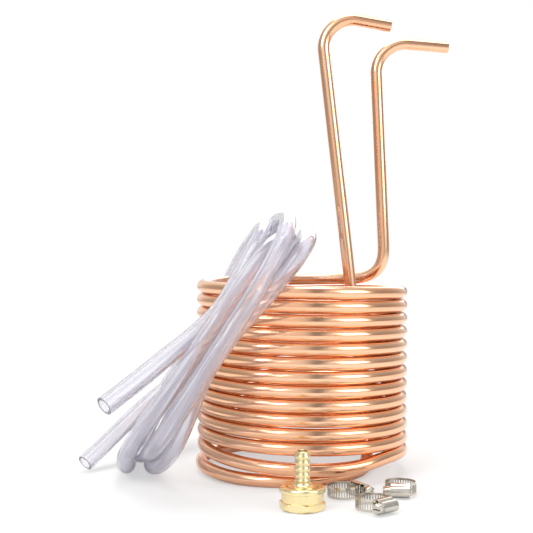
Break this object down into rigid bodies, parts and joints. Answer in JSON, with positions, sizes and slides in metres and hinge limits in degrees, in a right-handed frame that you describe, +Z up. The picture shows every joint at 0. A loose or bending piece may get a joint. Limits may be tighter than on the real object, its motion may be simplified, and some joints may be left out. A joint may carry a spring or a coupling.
{
  "type": "immersion wort chiller",
  "caption": "Immersion wort chiller: coiled copper tube with two bent risers, a clear vinyl hose laid over it, a brass swivel hose adapter and loose worm-drive clamps.",
  "frame": {"origin": "middle of the bottom of everything but the hose, on the surface it stands on", "axes": "+Z up along the coil's axis, +X the way the tube ends point, -Y towards the loose fittings"},
  "size_m": [0.2943, 0.268, 0.3571],
  "materials": {
    "copper": null,
    "brass": "bright turned brass",
    "stainless": "stainless strip and screw",
    "rubber": "matt black hose washer",
    "vinyl": "clear flexible vinyl"
  },
  "bodies": {
    "chiller": {"copper_coil": "copper", "inlet_riser": "copper", "outlet_riser": "copper"},
    "hose": {"vinyl_hose": "vinyl"},
    "adapter_tail": {"barbed_tail": "brass"},
    "adapter_nut": {"swivel_nut": "brass", "hose_washer": "rubber"},
    "clamp_1": {"clamp_1_housing": "stainless", "clamp_1_saddle": "stainless"},
    "clamp_1_ring": {"clamp_1_band": "stainless"},
    "clamp_1_worm": {"clamp_1_screw": "stainless"},
    "clamp_2": {"clamp_2_housing": "stainless", "clamp_2_saddle": "stainless"},
    "clamp_2_ring": {"clamp_2_band": "stainless"},
    "clamp_2_worm": {"clamp_2_screw": "stainless"},
    "clamp_3": {"clamp_3_housing": "stainless", "clamp_3_saddle": "stainless"},
    "clamp_3_ring": {"clamp_3_band": "stainless"},
    "clamp_3_worm": {"clamp_3_screw": "stainless"}
  },
  "joints": [
    {"name": "hose_lift", "type": "slide", "parent": "chiller", "child": "hose", "axis": [0, 0, 1], "range_m": [0, 0.05]},
    {"name": "adapter_lift", "type": "slide", "parent": "chiller", "child": "adapter_tail", "axis": [0, 0, 1], "range_m": [0, 0.1]},
    {"name": "nut_swivel", "type": "hinge", "parent": "adapter_tail", "child": "adapter_nut", "pos_m": [-0.02481, -0.09229, 0.01111], "axis": [0, 0, 1], "continuous": true},
    {"name": "clamp_1_lift", "type": "slide", "parent": "chiller", "child": "clamp_1", "axis": [0, 0, 1], "range_m": [0, 0.1]},
    {"name": "clamp_1_screw_turn", "type": "hinge", "parent": "clamp_1", "child": "clamp_1_worm", "pos_m": [0.01675, -0.05504, 0.00511], "axis": [-0.5, 0.866, 0], "range_deg": [0, 1620.5]},
    {"name": "clamp_1_band_feed", "type": "hinge", "parent": "clamp_1", "child": "clamp_1_ring", "pos_m": [0.00419, -0.06229, 0.00511], "axis": [0, 0, -1], "range_deg": [0, 45]},
    {"name": "clamp_2_lift", "type": "slide", "parent": "chiller", "child": "clamp_2", "axis": [0, 0, 1], "range_m": [0, 0.1]},
    {"name": "clamp_2_screw_turn", "type": "hinge", "parent": "clamp_2", "child": "clamp_2_worm", "pos_m": [0.02951, -0.10639, 0.00511], "axis": [0.766, 0.6428, 0], "range_deg": [0, 1620.5]},
    {"name": "clamp_2_band_feed", "type": "hinge", "parent": "clamp_2", "child": "clamp_2_ring", "pos_m": [0.02019, -0.09528, 0.00511], "axis": [0, 0, -1], "range_deg": [0, 45]},
    {"name": "clamp_3_lift", "type": "slide", "parent": "chiller", "child": "clamp_3", "axis": [0, 0, 1], "range_m": [0, 0.1]},
    {"name": "clamp_3_screw_turn", "type": "hinge", "parent": "clamp_3", "child": "clamp_3_worm", "pos_m": [0.04267, -0.06564, 0.00511], "axis": [0.9903, -0.1392, 0], "range_deg": [0, 1620.5]},
    {"name": "clamp_3_band_feed", "type": "hinge", "parent": "clamp_3", "child": "clamp_3_ring", "pos_m": [0.04469, -0.05128, 0.00511], "axis": [0, 0, -1], "range_deg": [0, 45]}
  ],
  "couplings": [
    {"joint": "clamp_1_screw_turn", "follows": "clamp_1_band_feed", "ratio": 36},
    {"joint": "clamp_2_screw_turn", "follows": "clamp_2_band_feed", "ratio": 36},
    {"joint": "clamp_3_screw_turn", "follows": "clamp_3_band_feed", "ratio": 36}
  ]
}
